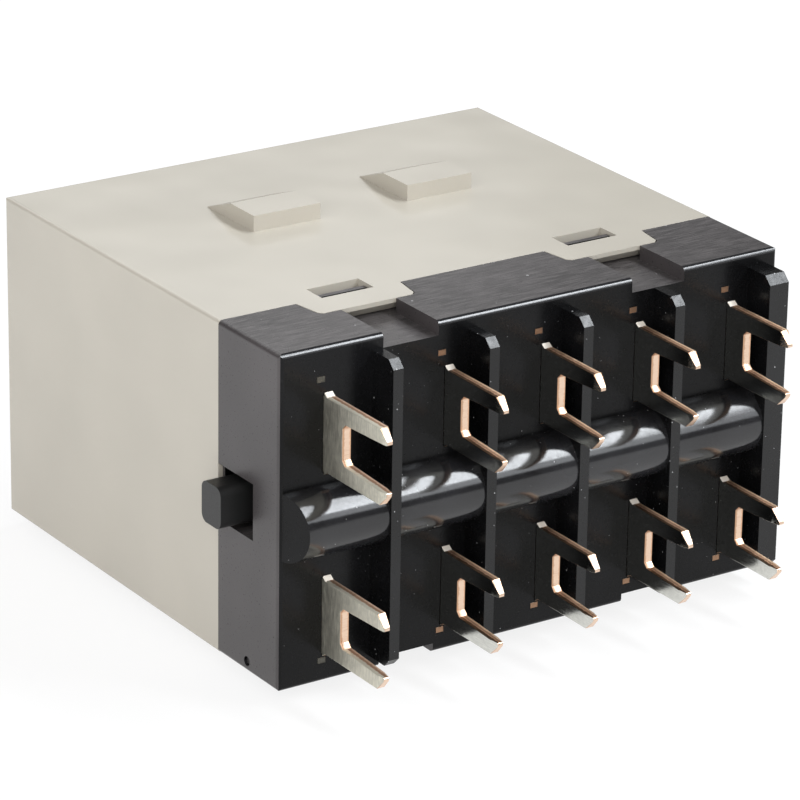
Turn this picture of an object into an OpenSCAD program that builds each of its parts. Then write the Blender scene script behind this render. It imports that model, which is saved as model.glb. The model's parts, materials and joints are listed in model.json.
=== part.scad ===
// Four-pole power relay with fork terminals for a circuit board, lying on its long side.
// Local frame: x runs from the left face along the terminal row, y from the terminal
// face into the cover, z from the lower face up. in_frame() moves it to the part's origin.

/* [Housing] */
// Width of the housing along the terminal row
body_w = 51.5; // [50:0.1:60]
// Depth of the housing from the terminal face to the back of the cover
body_d = 46.6; // [45:0.1:60]
// Height of the housing without its lugs
body_h = 30.5; // [29.5:0.1:36]
// Depth of the base from the terminal face to the joint with the cover
base_depth = 9.7; // [9.4:0.1:11]
// Radius of the base's outer edges
base_edge_r = 0.45; // [0.2:0.05:0.8]
// Radius of the cover's outer edges
cover_edge_r = 0.35; // [0.2:0.05:0.8]
// Wall of the cover
cover_wall = 1.5; // [1.2:0.1:1.8]
// Floor of the base, behind the terminal face
base_floor = 2.2; // [1.8:0.1:2.6]
// Skirt wall of the base
base_skirt = 1.7; // [1.6:0.1:2]
// Wall of the lip that goes inside the cover
lip_wall = 1.2; // [0.8:0.1:1.6]
// Length of the lip inside the cover
lip_depth = 3.3; // [3:0.1:4]
// Clearance between the lip and the cover
lip_gap = 0.1; // [0.05:0.05:0.2]

/* [Bracket lugs] */
// Width of a lug
lug_w = 6.95; // [4:0.05:9]
// Height of a lug above the cover
lug_height = 1.5; // [0.8:0.1:2.5]
// Distance of a lug from the housing's middle
lug_spread = 8.1; // [6:0.1:12]
// Distance of a lug's upright face from the terminal face
lug_front = 27; // [20:0.1:30]
// Length of a lug's flat top
lug_flat = 3.95; // [2:0.05:6]
// Length of a lug's ramp
lug_ramp = 4; // [2:0.1:6]

/* [Cover latches] */
// Distance of a latch from the housing's middle
latch_spread = 12.8; // [11:0.1:14]
// Width of a latch tab at its front edge
latch_w = 9.7; // [8:0.1:11]
// How much wider a latch tab is at its root, each side
latch_taper = 0.4; // [0:0.05:0.6]
// Reach of a latch tab over the base
latch_reach = 3.1; // [2:0.1:4]
// Thickness of a latch tab
latch_t = 1.2; // [0.8:0.1:1.4]
// Front face of a latch tab above its lead-in chamfer
latch_lip = 0.4; // [0.2:0.05:0.8]
// Width of a latch window
window_w = 5.25; // [3:0.05:7]
// Length of a latch window
window_l = 2.45; // [1.5:0.05:3]
// Height of a hook in its window
hook_h = 1.3; // [0.5:0.1:1.4]
// Width of the channel in the base under a latch
channel_w = 5.55; // [4:0.05:7]
// Depth of the upper channels
channel_depth = 1.28; // [1.2:0.02:1.5]
// Depth of the lower channels at the terminal face
channel_depth_low = 0.85; // [0.5:0.05:1.2]

/* [Terminal face] */
// Thickness of a thin rib
rib_w = 1; // [0.6:0.1:1.6]
// Height of the ribs above the terminal face
rib_out = 3.2; // [2:0.1:4]
// Chamfer at the ends of a rib
rib_chamfer = 0.75; // [0.3:0.05:1]
// Distance of the rib ends from the upper and lower faces
rib_end = 1.3; // [0.8:0.1:2]
// Distance of the first rib from the left face
rib_first = 9.6; // [9:0.1:10.2]
// How much closer the ribs stand than the poles
rib_creep = 0.24; // [0:0.02:0.3]
// Width of the rib at the right end
end_rib_w = 2.05; // [1:0.05:2.5]
// Distance of that rib from the right face
end_rib_inset = 1.1; // [0.5:0.1:2]
// Radius of the half-round ridge across the face
ridge_r = 3.05; // [2.4:0.05:3.2]
// Distance of the ridge's end from the left face
ridge_start = 0.35; // [0.3:0.05:2]
// How far the ridge's end leans back between the face and the crest
ridge_lean = 0.8; // [0:0.05:1.5]

/* [Terminals] */
// Thickness of the terminal sheet
fork_t = 0.8; // [0.6:0.05:1]
// Height of a fork over both prongs
fork_h = 6.8; // [6:0.1:7.4]
// Gap between the prongs at their root
fork_gap = 3.6; // [3:0.1:4.2]
// Chamfer in the corners of that gap
gap_chamfer = 0.4; // [0.1:0.05:0.8]
// Reach of a coil fork's web in front of the terminal face
coil_web = 2.9; // [1.5:0.1:4]
// Reach of a coil fork's prongs in front of the terminal face
coil_len = 9.4; // [7:0.1:12]
// Reach of a contact fork's web in front of the terminal face
contact_web = 2.55; // [1.5:0.05:4]
// Reach of a contact fork's prongs in front of the terminal face
contact_len = 8.6; // [7:0.1:12]
// Length of the shoulder at a fork's root
shoulder_l = 0.45; // [0.2:0.05:0.8]
// Height of that shoulder
shoulder_h = 0.3; // [0.1:0.05:0.5]
// Taper of a prong along its inner edge
prong_taper = 0.3; // [0:0.05:0.5]
// Length of the chamfer on a prong's outer corner
tip_l = 0.95; // [0.4:0.05:1.4]
// Height of a prong's blunt tip
tip_h = 0.3; // [0.2:0.05:0.6]
// Thickness left at the coined tip
tip_t = 0.5; // [0.3:0.05:0.6]
// What the distance between the two rows leaves of the housing's height
row_room = 13.9; // [13.5:0.1:14.5]
// How far the rows' middle lies below the housing's middle
row_drop = 0.85; // [0:0.05:1]
// Distance of the coil forks from the left face
coil_fork_x = 4.35; // [4:0.05:5]
// Distance of the last pole's bay from the right face
bay_end = 2.22; // [2:0.02:3]
// Place of a contact fork in its pole's bay, as a share of the bay
fork_in_bay = 0.6855; // [0.66:0.0005:0.7]
// Width of a terminal's foot on the inside of the floor
foot_w = 4.6; // [4:0.1:5]
// Width of the tang that shows in the terminal face
tang_w = 0.75; // [0.5:0.05:1]
// Height of that tang
tang_h = 0.5; // [0.3:0.05:0.7]
// Distance of an upper tang above its fork's middle
tang_up = 4.9; // [4:0.1:5]
// Distance of a lower tang below its fork's middle
tang_down = 4.1; // [3.8:0.1:4.2]
// How far the upper tangs stand to the left of the lower ones
tang_shift = 0.3; // [0:0.05:0.5]
// Clearance of the terminals in the floor
terminal_gap = 0.05; // [0.02:0.01:0.1]

/* [Contacts] */
// Radius of the contact buttons
contact_r = 1.35; // [1:0.05:1.6]
// Height of a fixed contact button
fixed_contact_h = 0.9; // [0.5:0.1:1.1]
// Height of a moving contact button
moving_contact_h = 0.6; // [0.4:0.1:0.8]
// Open gap between the contacts
contact_gap = 1.2; // [0.9:0.1:1.4]
// Travel of the carrier after the contacts have closed
overtravel = 0.4; // [0.2:0.1:0.5]
// Distance of a contact button from its fork's middle
contact_inset = 2; // [1.7:0.1:2.3]
// Thickness of a contact bridge
bridge_t = 0.6; // [0.4:0.1:0.8]
// Width of a contact bridge
bridge_w = 3.4; // [3:0.1:3.8]

/* [Carrier] */
// Height of the carrier bar
carrier_h = 4.8; // [4:0.1:5.2]
// Wall in front of and behind the bridges
carrier_wall = 0.8; // [0.6:0.1:1]
// Room for a bridge and its spring in the carrier
carrier_room = 3.4; // [3:0.1:3.6]
// Clearance of the bridges in the carrier
bridge_gap = 0.15; // [0.1:0.05:0.25]
// Clearance of the carrier in its guides
guide_gap = 0.25; // [0.15:0.05:0.3]
// Reach of the side tab outside the base
side_tab_out = 2.1; // [1:0.1:3]
// Length of the side tab
side_tab_l = 3.1; // [2:0.1:3.4]
// Height of the side tab
side_tab_h = 3.8; // [2:0.1:4]
// Corner radius of the side tab
side_tab_r = 0.8; // [0.2:0.05:1]
// Height of the slot round the side tab
slot_h = 5.15; // [4.6:0.05:5.6]
// How far the ridge, slot and carrier lie below the housing's middle
carrier_drop = 0.2; // [0:0.05:0.5]

/* [Magnet] */
// Thickness of the yoke
yoke_t = 1.6; // [1.4:0.1:1.8]
// Height of the yoke
yoke_h = 16; // [12:0.5:20]
// Distance of the yoke's free end from the left face
yoke_start = 8; // [7.5:0.1:8.5]
// Distance of the yoke's end plate from the right face
yoke_inset = 5.5; // [4.5:0.1:7]
// Depth of the end plate
yoke_arm = 21.5; // [19:0.5:24]
// Thickness of the armature sheet
armature_t = 1.4; // [1.2:0.1:1.5]
// Height of the armature's pole leg
armature_h = 13; // [10:0.5:13.5]
// Length of the armature's pole leg
armature_leg = 20; // [18:0.5:22]
// Height of the armature's finger
finger_h = 6; // [4:0.5:8]
// Distance of the finger's end from the next pole wall
finger_gap = 1.41; // [1:0.01:2]
// Angle through which the armature turns
armature_angle = 5.2; // [4:0.1:5.4]
// Clearance of the armature round the yoke's end
pivot_gap = 0.05; // [0.03:0.01:0.08]
// Clearance between the armature and the nub
nub_gap = 0.1; // [0.08:0.01:0.15]
// Radius of the nub
nub_r = 1.2; // [0.8:0.1:1.4]
// Radius of the core
core_r = 4; // [3:0.1:4.5]
// Radius of the pole disc
pole_r = 7; // [5:0.1:8]
// Thickness of the pole disc
pole_t = 1.5; // [1:0.1:2]
// Radius of the core's riveted tail
tail_r = 3; // [2:0.1:3.2]
// Room between the bobbin's flanges and the cover
flange_room = 1.25; // [1:0.05:2]
// Thickness of the bobbin's walls
bobbin_wall = 1.2; // [0.8:0.1:1.4]
// Distance of the winding from the flanges' rim
winding_room = 1.5; // [1.3:0.1:3]
// Thickness of the tape round the winding
tape_t = 0.2; // [0.1:0.05:0.25]
// Radius of the coil leads
lead_r = 0.3; // [0.2:0.05:0.4]
// Height of the coil leads from the coil's axis, as a share of the flanges' radius
lead_side = 0.72; // [0.69:0.01:0.74]
// Distance of the coil leads in front of the coil's axis, as a share of the flanges' radius
lead_ahead = 0.576; // [0.5:0.002:0.6]
// Clearance between the magnet's pieces
magnet_gap = 0.1; // [0.05:0.05:0.2]

/* [Springs] */
// Mean radius of a contact spring
contact_spring_r = 1.1; // [0.8:0.1:1.3]
// Wire of a contact spring
contact_spring_wire = 0.3; // [0.2:0.05:0.4]
// Turns of a contact spring
contact_spring_turns = 3.5; // [2:0.5:4]
// Mean radius of a return spring
return_spring_r = 1.25; // [1:0.05:1.4]
// Wire of a return spring
return_spring_wire = 0.35; // [0.2:0.05:0.4]
// Turns of a return spring
return_spring_turns = 6; // [4:0.5:8]

/* [Hidden] */
$fn = 48;

cover_colour = "#c9c2b4";
base_colour = "#1b1b1d";
tin_colour = "#c8c9c4";
copper_colour = "#c98f6c";
silver_colour = "#d9dadb";
carrier_colour = "#232325";
steel_colour = "#9b9ea1";
bobbin_colour = "#3a3f44";
wire_colour = "#a5542f";
tape_colour = "#d8c27a";

poles = 4;
rib_count = 4;
// A cut runs past the face that it opens by this much
over = 1;
// A spring's wire stops this far short of its seats
seat_gap = 0.02;
// Room between the side tab and the end of its slot at full travel
slot_end_gap = 0.15;
// Clearance of a latch tab in its recess
latch_gap = 0.08;
// Thickening of the base's walls behind the latch channels
latch_pad = 0.9;
// Overlap of pieces that are joined into one solid
join = 0.3;
// How far the lip runs down inside the skirt
lip_overlap = 2.5;
// How much thicker a pole wall is than a rib
wall_extra = 0.2;
// How far a low pole wall reaches past the carrier's middle
wall_reach = 1.6;
// Distance of the tall pole walls' ends from the skirt
wall_margin = 3;
// Distance of the yoke behind the lip's end
yoke_clear = 0.2;
// Clearance between the yoke and the bobbin's flanges
flange_gap = 0.5;
// Distance of a coil terminal's post from the lip's end
post_short = 0.5;
// Height of a coil terminal's post
post_h = 1.6;
// Radius of a coil lead's bend
lead_bend = 1.2;
// How far a return spring's pocket reaches into the ridge
pocket_depth = 1;
// Clearance round a return spring in its pocket
pocket_gap = 0.3;
// How far the core's tail stands out of the yoke
tail_out = 0.5;
// Corner radius of a latch tab
latch_corner = 0.4;
// Clearance of a hook in its window, and of the window from the joint
hook_gap = 0.1;
// Length of a hook's ramp
hook_ramp = 0.9;
// Thickness of the slot's sill in front of the cover's edge
sill_t = 0.35;
// Distance of that sill from the left face
sill_inset = 0.45;

mid_z = body_h / 2 - carrier_drop;
row_z = body_h / 2 - row_drop;
coil_z = body_h / 2;
row_spacing = body_h - row_room;
contact_offset = row_spacing / 2 - contact_inset;
pole_pitch = (body_w - rib_first - bay_end) / poles;
rib_pitch = pole_pitch - rib_creep;
contact_fork_x = rib_first + fork_in_bay * pole_pitch;

lip_outer = cover_wall + lip_gap;
lip_inner = lip_outer + lip_wall;
lip_end = base_depth + lip_depth;
lip_root = base_depth - lip_overlap;
window_start = base_depth + hook_gap;

foot_back = base_floor + fork_t;
bridge_front = foot_back + fixed_contact_h + contact_gap + moving_contact_h;
carrier_front = bridge_front - carrier_wall;
carrier_back = bridge_front + carrier_room + carrier_wall;
carrier_mid = (carrier_front + carrier_back) / 2;
carrier_start = lip_inner + guide_gap;
carrier_end = body_w - lip_inner - lip_wall - guide_gap;
travel = contact_gap + overtravel;
slot_front = carrier_mid - side_tab_l / 2 - travel - slot_end_gap;

wall_t = rib_w + wall_extra;
wall_notch = carrier_h + 2 * guide_gap;
wall_low = carrier_mid + wall_reach;
// First of the tall pole walls, past the armature's finger
tall_wall = rib_count / 2;

yoke_y = lip_end + yoke_clear;
pivot_x = yoke_start;
pivot_y = yoke_y + yoke_t / 2;
pivot_r = yoke_t / 2 + pivot_gap;
armature_outer = pivot_r + armature_t;
finger_front = pivot_y - armature_outer;
finger_end = rib_x(tall_wall) - wall_t / 2 - finger_gap;
nub_x = finger_end - nub_r;
nub_y = finger_front - nub_gap - nub_r;
pole_x = pivot_x - pivot_r + pivot_gap;
bobbin_x = pole_x + pole_t + magnet_gap;
plate_x = body_w - yoke_inset - yoke_t;
bobbin_end = plate_x - magnet_gap;
flange_r = body_h / 2 - cover_wall - flange_room;
winding_r = flange_r - winding_room;
coil_y = yoke_y + yoke_t + flange_gap + flange_r;
tube_r = core_r + magnet_gap + bobbin_wall;
post_end = lip_end - post_short;
lead_y = coil_y - lead_ahead * flange_r;
lead_offset = lead_side * flange_r;
pocket_r = return_spring_r + return_spring_wire / 2 + pocket_gap;

function rib_x(i) = rib_first + i * rib_pitch;
function fork_x(pole) = contact_fork_x + pole * pole_pitch;
function bridge_x(pole) = fork_x(pole) + fork_t - foot_w / 2;
function fork_z(side) = row_z + side * row_spacing / 2;
function tang_x(side) = -tang_w / 2 - (side > 0 ? tang_shift : 0);
function tang_z(side) = fork_z(side) + (side > 0 ? tang_up : -tang_down);
function pocket_x(side) = rib_x(side < 0 ? 0 : rib_count - 1);
// End of the armature's pole leg on the face at a distance from the pivot
function leg_point(out) = [
    -out * cos(armature_angle) - armature_leg * sin(armature_angle),
    -out * sin(armature_angle) + armature_leg * cos(armature_angle)
];

// Places children in the part's frame, with its origin under the middle of its outline
module in_frame() {
    x_mid = (body_w - side_tab_out) / 2;
    y_mid = (body_d - max(coil_len, contact_len)) / 2;
    translate([-x_mid, -y_mid, lug_height]) children();
}

// Extrudes a (y, z) profile along x
module along_x(length) {
    rotate([90, 0, 90]) linear_extrude(length) children();
}

// Extrudes an (x, z) profile along y
module along_y(length) {
    translate([0, length, 0]) rotate([90, 0, 0]) linear_extrude(length) children();
}

// A cylinder along y
module rod_y(r, length) {
    rotate([-90, 0, 0]) cylinder(r = r, h = length);
}

// A cylinder along x
module rod_x(r, length) {
    rotate([0, 90, 0]) cylinder(r = r, h = length);
}

// A rectangle with round corners
module round_square(size, r) {
    translate([r, 0]) square([size[0] - 2 * r, size[1]]);
    translate([0, r]) square([size[0], size[1] - 2 * r]);
    for (x = [r, size[0] - r], y = [r, size[1] - r]) translate([x, y]) circle(r);
}

// Repeats children on the upper face and, mirrored, on the lower face
module both_faces() {
    children();
    translate([0, 0, body_h]) mirror([0, 0, 1]) children();
}

// Repeats children at both latches or lugs, at a distance from the housing's middle
module both_sides(spread) {
    for (side = [-1, 1]) translate([body_w / 2 + side * spread, 0, 0]) children();
}

// Block between two y values, with its edges round all over and cut square at the joint
module round_block(y_start, y_end, r, cut_start, cut_end) {
    length = y_end - y_start;
    intersection() {
        translate([0, y_start, 0]) along_x(body_w) round_square([length, body_h], r);
        translate([0, y_start, 0]) linear_extrude(body_h) round_square([body_w, length], r);
        translate([0, cut_start, 0]) along_y(cut_end - cut_start) round_square([body_w, body_h], r);
    }
}

// Plan of a latch tab, from the joint forwards, with its front corners round
module latch_plan(grow, reach) {
    half = latch_w / 2 + grow;
    r = latch_corner;
    polygon([
        [-half - latch_taper, over], [-half - latch_taper, 0],
        [-half, r - reach], [r - half, -reach],
        [half - r, -reach], [half, r - reach],
        [half + latch_taper, 0], [half + latch_taper, over]
    ]);
}

// A latch tab of the cover, in place on the upper face
module latch_tab() {
    chamfer = latch_t - latch_lip;
    front = base_depth - latch_reach;
    difference() {
        translate([0, base_depth, body_h - latch_t])
            linear_extrude(latch_t) latch_plan(0, latch_reach);
        translate([-body_w / 2, 0, body_h - latch_t]) along_x(body_w) polygon([
            [front - over, -over], [front + chamfer + over, -over], [front - over, chamfer + over]
        ]);
    }
}

// A bracket lug on the upper face
module lug() {
    translate([-lug_w / 2, lug_front, body_h]) along_x(lug_w)
        polygon([[0, -join], [0, lug_height], [lug_flat, lug_height], [lug_flat + lug_ramp, 0],
                 [lug_flat + lug_ramp, -join]]);
}

// A latch window through the cover's upper wall
module window_cut() {
    translate([-window_w / 2, window_start, body_h - cover_wall - over])
        cube([window_w, window_l, cover_wall + 2 * over]);
}

module cover() {
    room_d = body_d - base_depth + over - cover_wall;
    color(cover_colour) in_frame() difference() {
        union() {
            round_block(base_depth - over, body_d, cover_edge_r, base_depth, body_d);
            both_faces() both_sides(latch_spread) latch_tab();
            both_faces() both_sides(lug_spread) lug();
        }
        translate([cover_wall, base_depth - over, cover_wall])
            cube([body_w - 2 * cover_wall, room_d, body_h - 2 * cover_wall]);
        translate([-over, base_depth - latch_reach - over, latch_t])
            cube([body_w + 2 * over, latch_reach + over, body_h - 2 * latch_t]);
        both_faces() both_sides(latch_spread) window_cut();
    }
}

// Channel and recess for a latch tab, cut into the base's upper face
module latch_channel(depth) {
    translate([-channel_w / 2, -over, body_h - depth])
        cube([channel_w, base_depth + over, depth + over]);
    translate([0, base_depth, body_h - latch_t - latch_gap])
        linear_extrude(latch_t + latch_gap + over) latch_plan(latch_gap, latch_reach + latch_gap);
}

// Thickening of the skirt behind a latch channel
module latch_backing(y_start) {
    w = latch_w + 2 * latch_taper + 2 * latch_pad;
    translate([-w / 2, y_start, body_h - base_skirt - latch_pad])
        cube([w, base_depth - y_start, latch_pad + join]);
}

// Hook on the lip that locks in a latch window
module latch_hook() {
    w = window_w - 2 * hook_gap;
    length = window_l - 2 * hook_gap;
    translate([-w / 2, window_start + hook_gap, body_h - lip_outer]) along_x(w)
        polygon([[0, -join], [0, hook_h], [length - hook_ramp, hook_h], [length, 0], [length, -join]]);
}

// A rib on the terminal face, chamfered at both ends
module face_rib(x_start, w) {
    top = body_h - rib_end;
    translate([x_start, 0, 0]) along_x(w)
        polygon([
            [join, rib_end], [rib_chamfer - rib_out, rib_end], [-rib_out, rib_end + rib_chamfer],
            [-rib_out, top - rib_chamfer], [rib_chamfer - rib_out, top], [join, top]
        ]);
}

// The half-round ridge across the terminal face, with a leaning end on the left
module face_ridge() {
    end = body_w - end_rib_inset - end_rib_w / 2;
    crest = ridge_start + ridge_lean;
    front = -ridge_r - over;
    intersection() {
        translate([ridge_start, 0, mid_z]) rod_x(ridge_r, end - ridge_start);
        linear_extrude(body_h) polygon([
            [ridge_start, join], [ridge_start, 0], [crest, -ridge_r], [crest, front],
            [end + over, front], [end + over, join]
        ]);
    }
}

// A wall between two poles, open in the middle for the carrier
module pole_wall(i) {
    x_start = rib_x(i) - wall_t / 2;
    difference() {
        union() {
            translate([x_start, base_floor - join, base_skirt - join])
                cube([wall_t, wall_low - base_floor + join, body_h - 2 * base_skirt + 2 * join]);
            if (i >= tall_wall) translate([x_start, base_floor, base_skirt + wall_margin])
                cube([wall_t, yoke_y - base_floor, body_h - 2 * base_skirt - 2 * wall_margin]);
        }
        translate([x_start - over, base_floor, mid_z - wall_notch / 2])
            cube([wall_t + 2 * over, yoke_y, wall_notch]);
    }
}

// The lip that goes inside the cover
module base_lip() {
    difference() {
        translate([lip_outer, lip_root, lip_outer])
            cube([body_w - 2 * lip_outer, lip_end - lip_root, body_h - 2 * lip_outer]);
        translate([lip_inner, lip_root - over, lip_inner])
            cube([body_w - 2 * lip_inner, lip_end - lip_root + 2 * over, body_h - 2 * lip_inner]);
    }
}

// Opening for a terminal's sheet, its shoulders and its tang
module terminal_cut(x, side) {
    grow = terminal_gap;
    shoulder = shoulder_h + grow;
    translate([x - grow, -ridge_r, fork_z(side) - fork_h / 2 - grow])
        cube([fork_t + 2 * grow, ridge_r + base_floor + over, fork_h + 2 * grow]);
    translate([x - grow, -ridge_r, fork_z(side) - fork_h / 2 - shoulder])
        cube([fork_t + 2 * grow, ridge_r - grow / 2, fork_h + 2 * shoulder]);
    translate([x + tang_x(side) - grow, -over, tang_z(side) - tang_h / 2 - grow])
        cube([tang_w + 2 * grow, base_floor + 2 * over, tang_h + 2 * grow]);
}

// Slot for the side tab, with a sill in front of the cover's edge
module tab_slot() {
    length = base_depth - slot_front;
    translate([-over, slot_front, mid_z - slot_h / 2]) {
        cube([carrier_start + 2 * over, length - sill_t, slot_h]);
        cube([over + sill_inset, length, slot_h]);
    }
}

module base() {
    dimple_y = 5;
    dimple_z = 1;
    dimple_r = 0.45;
    dimple_depth = 0.3;
    color(base_colour) in_frame() difference() {
        union() {
            difference() {
                round_block(0, base_depth + over, base_edge_r, 0, base_depth);
                translate([base_skirt, base_floor, base_skirt])
                    cube([body_w - 2 * base_skirt, base_depth, body_h - 2 * base_skirt]);
            }
            both_sides(latch_spread) latch_backing(base_floor - join);
            translate([0, 0, body_h]) mirror([0, 0, 1])
                both_sides(latch_spread) latch_backing(foot_back + over);
            base_lip();
            both_faces() both_sides(latch_spread) latch_hook();
            for (i = [0 : rib_count - 1]) {
                face_rib(rib_x(i) - rib_w / 2, rib_w);
                pole_wall(i);
            }
            face_rib(body_w - end_rib_inset - end_rib_w, end_rib_w);
            face_ridge();
        }
        both_sides(latch_spread) latch_channel(channel_depth);
        translate([0, 0, body_h]) mirror([0, 0, 1])
            both_sides(latch_spread) latch_channel(channel_depth_low);
        tab_slot();
        for (side = [-1, 1]) {
            terminal_cut(coil_fork_x, side);
            for (pole = [0 : poles - 1]) terminal_cut(fork_x(pole), side);
            translate([pocket_x(side), -pocket_depth, mid_z])
                rod_y(pocket_r, base_floor + pocket_depth + over);
        }
        translate([-over, dimple_y, dimple_z]) rod_x(dimple_r, over + dimple_depth);
    }
}

// Side outline of a fork, from the floor's inner face to the prong tips, about its middle
module fork_profile(web, length) {
    half = fork_h / 2;
    root = fork_gap / 2;
    tip = root + prong_taper;
    corner = root + prong_taper * gap_chamfer / (length - web);
    upper = [
        [foot_back, half], [-terminal_gap, half], [-terminal_gap, half + shoulder_h],
        [-terminal_gap - shoulder_l, half], [tip_l - length, half], [-length, tip + tip_h], [-length, tip],
        [-web - gap_chamfer, corner], [-web, root - gap_chamfer]
    ];
    last = len(upper) - 1;
    lower = [for (i = [0 : last]) [upper[last - i][0], -upper[last - i][1]]];
    polygon(concat(upper, lower));
}

// Plan of a fork's sheet, coined to a thinner edge at the tips
module fork_plan(length) {
    coin = (fork_t - tip_t) / 2;
    polygon([
        [0, foot_back], [0, tip_l - length], [coin, -length],
        [fork_t - coin, -length], [fork_t, tip_l - length], [fork_t, foot_back]
    ]);
}

// One terminal: its fork, its foot on the floor and its tang
module terminal(x, side, foot, web, length) {
    foot_z = side > 0 ? -fork_h / 2 : tang_z(side) - fork_z(side) - tang_h / 2;
    foot_end = side > 0 ? tang_z(side) - fork_z(side) + tang_h / 2 : fork_h / 2;
    tang_back = base_floor + join;
    translate([x, 0, fork_z(side)]) {
        intersection() {
            along_x(fork_t) fork_profile(web, length);
            translate([0, 0, -fork_h]) linear_extrude(2 * fork_h) fork_plan(length);
        }
        translate([fork_t - foot, base_floor, foot_z]) cube([foot, fork_t, foot_end - foot_z]);
        translate([tang_x(side), 0, tang_z(side) - fork_z(side) - tang_h / 2])
            cube([tang_w, tang_back, tang_h]);
    }
}

module contact_terminal(pole, side) {
    color(copper_colour) in_frame() terminal(fork_x(pole), side, foot_w, contact_web, contact_len);
}

// A coil terminal also has a post that carries the coil's lead
module coil_terminal(side) {
    foot = fork_t + tang_w + tang_shift;
    color(tin_colour) in_frame() {
        terminal(coil_fork_x, side, foot, coil_web, coil_len);
        translate([coil_fork_x, base_floor, coil_z + side * lead_offset - post_h / 2])
            cube([fork_t, post_end - base_floor, post_h]);
    }
}

// A contact button standing on y = 0, with its free end chamfered
module contact_button(h) {
    edge = h / 3;
    rotate([-90, 0, 0]) rotate_extrude()
        polygon([[0, 0], [contact_r, 0], [contact_r, h - edge], [contact_r - edge, h], [0, h]]);
}

module fixed_contacts() {
    color(silver_colour) in_frame()
        for (pole = [0 : poles - 1], side = [-1, 1])
            translate([bridge_x(pole), foot_back, row_z + side * contact_offset])
                contact_button(fixed_contact_h);
}

module contact_bridge(pole) {
    length = 2 * (contact_offset + contact_r);
    color(copper_colour) in_frame()
        translate([bridge_x(pole) - bridge_w / 2, bridge_front, row_z - length / 2])
            cube([bridge_w, bridge_t, length]);
}

module bridge_contacts(pole) {
    color(silver_colour) in_frame()
        for (side = [-1, 1])
            translate([bridge_x(pole), bridge_front, row_z + side * contact_offset])
                mirror([0, 1, 0]) contact_button(moving_contact_h);
}

// The carrier bar, with a window for each bridge, its nub and its side tab
module contact_carrier() {
    side_tab_root = carrier_start + join;
    color(carrier_colour) in_frame() difference() {
        union() {
            translate([carrier_start, carrier_front, mid_z - carrier_h / 2])
                cube([carrier_end - carrier_start, carrier_back - carrier_front, carrier_h]);
            translate([-side_tab_out, carrier_mid - side_tab_l / 2, mid_z - side_tab_h / 2])
                along_x(side_tab_root + side_tab_out) round_square([side_tab_l, side_tab_h], side_tab_r);
            translate([nub_x, nub_y, mid_z - carrier_h / 2]) cylinder(r = nub_r, h = carrier_h);
            translate([nub_x - nub_r, carrier_back - join, mid_z - carrier_h / 2])
                cube([2 * nub_r, max(nub_y - carrier_back, 0) + join, carrier_h]);
        }
        for (pole = [0 : poles - 1])
            translate([bridge_x(pole) - bridge_w / 2 - bridge_gap, bridge_front, mid_z - carrier_h])
                cube([bridge_w + 2 * bridge_gap, carrier_room, 2 * carrier_h]);
    }
}

// A coil spring along y, from y = 0 to its length, swept round a helix
module coil_spring(r, wire, turns, length) {
    sides = 6;
    steps = round(turns * 10);
    rise = length - wire;
    points = [
        for (i = [0 : steps], j = [0 : sides - 1])
            let (turn = 360 * turns * i / steps, ring = 360 * j / sides, out = r + wire / 2 * cos(ring))
            [out * cos(turn), wire / 2 + rise * i / steps + wire / 2 * sin(ring), out * sin(turn)]
    ];
    walls = [
        for (i = [0 : steps - 1], j = [0 : sides - 1])
            let (k = (j + 1) % sides)
            [i * sides + j, i * sides + k, (i + 1) * sides + k, (i + 1) * sides + j]
    ];
    first = [for (j = [0 : sides - 1]) sides - 1 - j];
    last = [for (j = [0 : sides - 1]) steps * sides + j];
    polyhedron(points, concat(walls, [first, last]));
}

module contact_spring(pole) {
    start = bridge_front + bridge_t + seat_gap;
    length = carrier_room - bridge_t - 2 * seat_gap;
    color(steel_colour) in_frame() translate([bridge_x(pole), start, mid_z])
        coil_spring(contact_spring_r, contact_spring_wire, contact_spring_turns, length);
}

module return_spring(side) {
    start = seat_gap - pocket_depth;
    length = carrier_front - start - seat_gap;
    color(steel_colour) in_frame() translate([pocket_x(side), start, mid_z])
        coil_spring(return_spring_r, return_spring_wire, return_spring_turns, length);
}

// The armature: a sheet folded round the yoke's end, with a finger and a wider pole leg
module armature() {
    finger_l = finger_end - pivot_x;
    mitre = tan(45 - armature_angle / 2);
    inner_fold = [-pivot_r * mitre, -pivot_r];
    outer_fold = [-armature_outer * mitre, -armature_outer];
    leg = [inner_fold, leg_point(pivot_r), leg_point(armature_outer), outer_fold];
    finger = [[finger_l, -armature_outer], [finger_l, -pivot_r]];
    color(steel_colour) in_frame() translate([pivot_x, pivot_y, mid_z]) {
        translate([0, 0, -finger_h / 2]) linear_extrude(finger_h) polygon(concat(leg, finger));
        translate([0, 0, -armature_h / 2]) linear_extrude(armature_h) polygon(leg);
    }
}

// The yoke: an angle plate that carries the core
module yoke() {
    length = plate_x + yoke_t - pivot_x;
    color(steel_colour) in_frame() difference() {
        translate([pivot_x, yoke_y, coil_z - yoke_h / 2]) linear_extrude(yoke_h) {
            translate([0, yoke_t / 2]) circle(yoke_t / 2);
            square([length - yoke_t, yoke_t]);
            translate([length - yoke_t, yoke_t]) intersection() {
                circle(yoke_t);
                translate([0, -yoke_t]) square(yoke_t);
            }
            translate([length - yoke_t, yoke_t]) square([yoke_t, yoke_arm - yoke_t]);
        }
        translate([plate_x - over, coil_y, coil_z]) rod_x(tail_r + pivot_gap, yoke_t + 2 * over);
    }
}

module core() {
    tail = yoke_t + tail_out;
    color(steel_colour) in_frame() translate([0, coil_y, coil_z]) {
        translate([pole_x, 0, 0]) rod_x(pole_r, pole_t);
        translate([pole_x, 0, 0]) rod_x(core_r, plate_x - pole_x);
        translate([plate_x - join, 0, 0]) rod_x(tail_r, tail + join);
    }
}

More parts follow.
